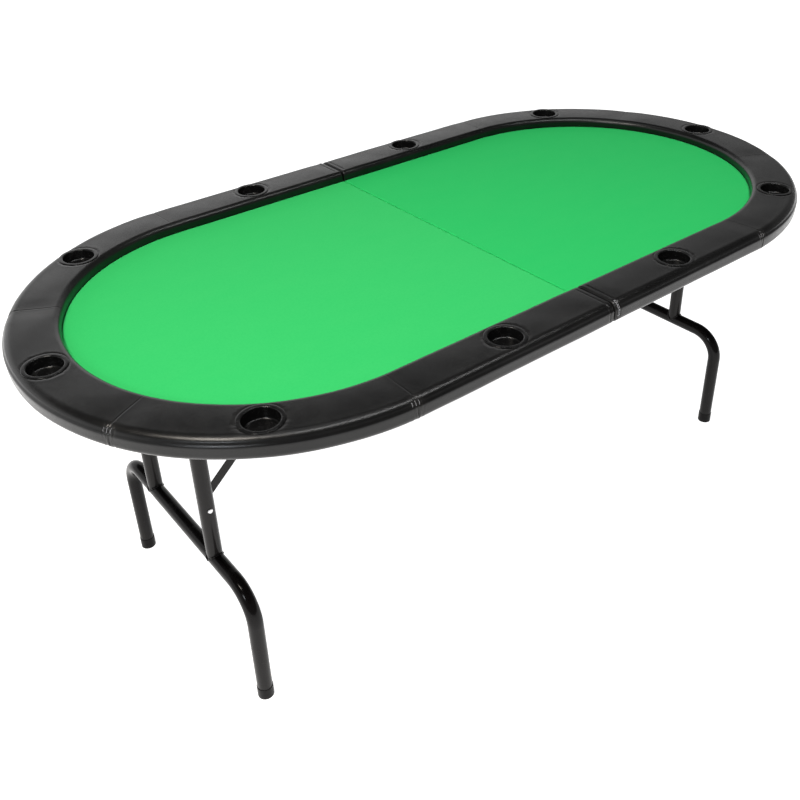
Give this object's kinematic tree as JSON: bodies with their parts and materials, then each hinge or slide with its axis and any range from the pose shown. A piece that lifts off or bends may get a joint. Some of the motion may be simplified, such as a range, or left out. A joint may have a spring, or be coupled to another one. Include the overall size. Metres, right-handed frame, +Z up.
{
  "type": "poker table",
  "caption": "Folding oval card table: padded black rail with recessed cup holders, green cloth, hinged half tops and fold-down wishbone tube legs.",
  "frame": {"origin": "floor level, under the middle of the opened table", "axes": "+X along the table towards the right half, +Y across it towards the rear long side, +Z up"},
  "size_m": [2.0318, 1.067, 0.7888],
  "materials": {
    "vinyl": "semi-gloss padded vinyl with a fine grain",
    "foam": "open-cell foam",
    "felt": "matt napped cloth, foam backed",
    "cup_plastic": "satin moulded plastic",
    "board_paint": "fibreboard painted black",
    "rail_wood": "raw plywood",
    "batten_wood": "planed softwood",
    "leg_paint": "glossy black powder coat",
    "bracket_steel": "satin black",
    "hinge_steel": "zinc plated",
    "zinc": "bright zinc",
    "cap_rubber": "black moulded plastic"
  },
  "bodies": {
    "left_half": {"board_left": "board_paint", "felt_left": "felt", "rail_core_left": "rail_wood", "rail_foam_left": "foam", "rail_cover_left": "vinyl", "rail_screws_left": "zinc", "batten_left": "batten_wood", "hinge_screws_left": "zinc", "board_screws_left": "zinc", "pivot_bolts_left": "zinc", "stay_bracket_left": "bracket_steel", "cup_left_1": "cup_plastic", "cup_left_2": "cup_plastic", "cup_left_3": "cup_plastic", "cup_left_4": "cup_plastic", "cup_left_5": "cup_plastic", "hinge_leaf_left_front": "hinge_steel", "leg_bracket_left_front": "bracket_steel", "hinge_leaf_left_rear": "hinge_steel", "leg_bracket_left_rear": "bracket_steel", "hinge_pin_front": "zinc", "hinge_pin_rear": "zinc"},
    "left_leg": {"leg_foot_tube_left": "leg_paint", "leg_rivet_left": "zinc", "leg_upright_left_front": "leg_paint", "foot_cap_left_front": "cap_rubber", "leg_upright_left_rear": "leg_paint", "foot_cap_left_rear": "cap_rubber"},
    "left_stay_upper": {"stay_upper_left": "leg_paint", "stay_rivets_left": "zinc"},
    "left_stay_lower": {"stay_lower_left": "leg_paint"},
    "right_half": {"board_right": "board_paint", "felt_right": "felt", "rail_core_right": "rail_wood", "rail_foam_right": "foam", "rail_cover_right": "vinyl", "rail_screws_right": "zinc", "batten_right": "batten_wood", "hinge_screws_right": "zinc", "board_screws_right": "zinc", "pivot_bolts_right": "zinc", "stay_bracket_right": "bracket_steel", "cup_right_1": "cup_plastic", "cup_right_2": "cup_plastic", "cup_right_3": "cup_plastic", "cup_right_4": "cup_plastic", "cup_right_5": "cup_plastic", "hinge_leaf_right_front": "hinge_steel", "leg_bracket_right_front": "bracket_steel", "hinge_leaf_right_rear": "hinge_steel", "leg_bracket_right_rear": "bracket_steel"},
    "right_leg": {"leg_foot_tube_right": "leg_paint", "leg_rivet_right": "zinc", "leg_upright_right_front": "leg_paint", "foot_cap_right_front": "cap_rubber", "leg_upright_right_rear": "leg_paint", "foot_cap_right_rear": "cap_rubber"},
    "right_stay_upper": {"stay_upper_right": "leg_paint", "stay_rivets_right": "zinc"},
    "right_stay_lower": {"stay_lower_right": "leg_paint"}
  },
  "joints": [
    {"name": "centre_fold", "type": "hinge", "parent": "left_half", "child": "right_half", "pos_m": [0, 0, 0.702], "axis": [0, 1, 0], "range_deg": [0, 85]},
    {"name": "left_leg_fold", "type": "hinge", "parent": "left_half", "child": "left_leg", "pos_m": [-0.76, 0, 0.721], "axis": [0, -1, 0], "range_deg": [0, 90.8]},
    {"name": "left_stay_upper_turn", "type": "hinge", "parent": "left_half", "child": "left_stay_upper", "pos_m": [-0.438, -0.145, 0.721], "axis": [0, 1, 0], "range_deg": [0, 41.8]},
    {"name": "left_stay_lower_turn", "type": "hinge", "parent": "left_leg", "child": "left_stay_lower", "pos_m": [-0.76406, -0.145, 0.43003], "axis": [0, -1, 0], "range_deg": [0, 47.5]},
    {"name": "right_leg_fold", "type": "hinge", "parent": "right_half", "child": "right_leg", "pos_m": [0.76, 0, 0.721], "axis": [0, 1, 0], "range_deg": [0, 90.8]},
    {"name": "right_stay_upper_turn", "type": "hinge", "parent": "right_half", "child": "right_stay_upper", "pos_m": [0.438, 0.145, 0.721], "axis": [0, -1, 0], "range_deg": [0, 41.8]},
    {"name": "right_stay_lower_turn", "type": "hinge", "parent": "right_leg", "child": "right_stay_lower", "pos_m": [0.76406, 0.145, 0.43003], "axis": [0, 1, 0], "range_deg": [0, 47.5]}
  ],
  "couplings": [
    {"joint": "left_stay_upper_turn", "follows": "left_leg_fold", "ratio": 0.45975},
    {"joint": "left_stay_lower_turn", "follows": "left_leg_fold", "ratio": 0.52263},
    {"joint": "right_stay_upper_turn", "follows": "right_leg_fold", "ratio": 0.45975},
    {"joint": "right_stay_lower_turn", "follows": "right_leg_fold", "ratio": 0.52263}
  ]
}
